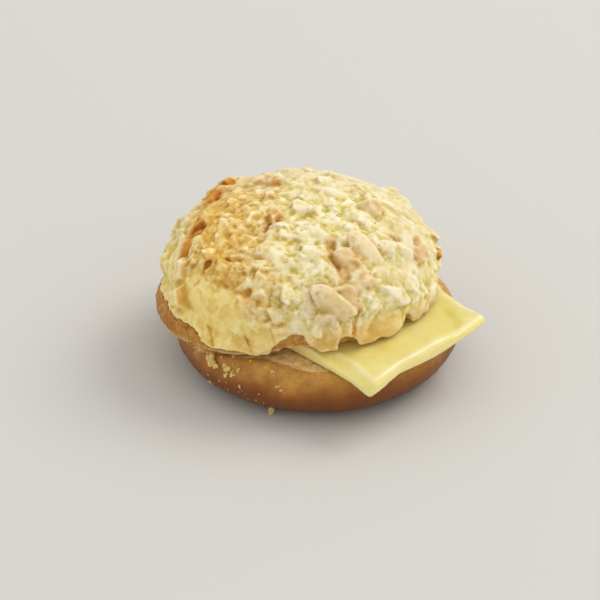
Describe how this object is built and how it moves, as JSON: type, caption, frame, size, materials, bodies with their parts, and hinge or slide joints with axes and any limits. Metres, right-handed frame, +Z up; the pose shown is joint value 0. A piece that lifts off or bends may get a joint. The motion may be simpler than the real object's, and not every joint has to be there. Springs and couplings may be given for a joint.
{
  "type": "pineapple bun with butter slab",
  "caption": "Split sweet bun with a crackled crumbly biscuit crust and a thick slab of cold butter sticking out of its cut.",
  "frame": {"origin": "centre of the flat foot under the lower half, on the table", "axes": "+Z up through the bun, -Y out of the mouth along the butter slab, +X to the right for someone looking into the mouth"},
  "size_m": [0.1042, 0.1147, 0.0605],
  "materials": {
    "heel_bread": "soft satin baked bread, brown outside, pale crumb on the cut",
    "crown_bread": "soft satin baked bread, brown outside, pale crumb on the cut",
    "biscuit_crust": "dry, matt, crumbly biscuit crust, pale gold with browned knobs",
    "butter": "smooth, waxy, soft sheen"
  },
  "bodies": {
    "root": {"heel_bread": "heel_bread", "butter_slab": "butter", "crown_bread": "crown_bread", "biscuit_crust": "biscuit_crust"}
  },
  "joints": []
}
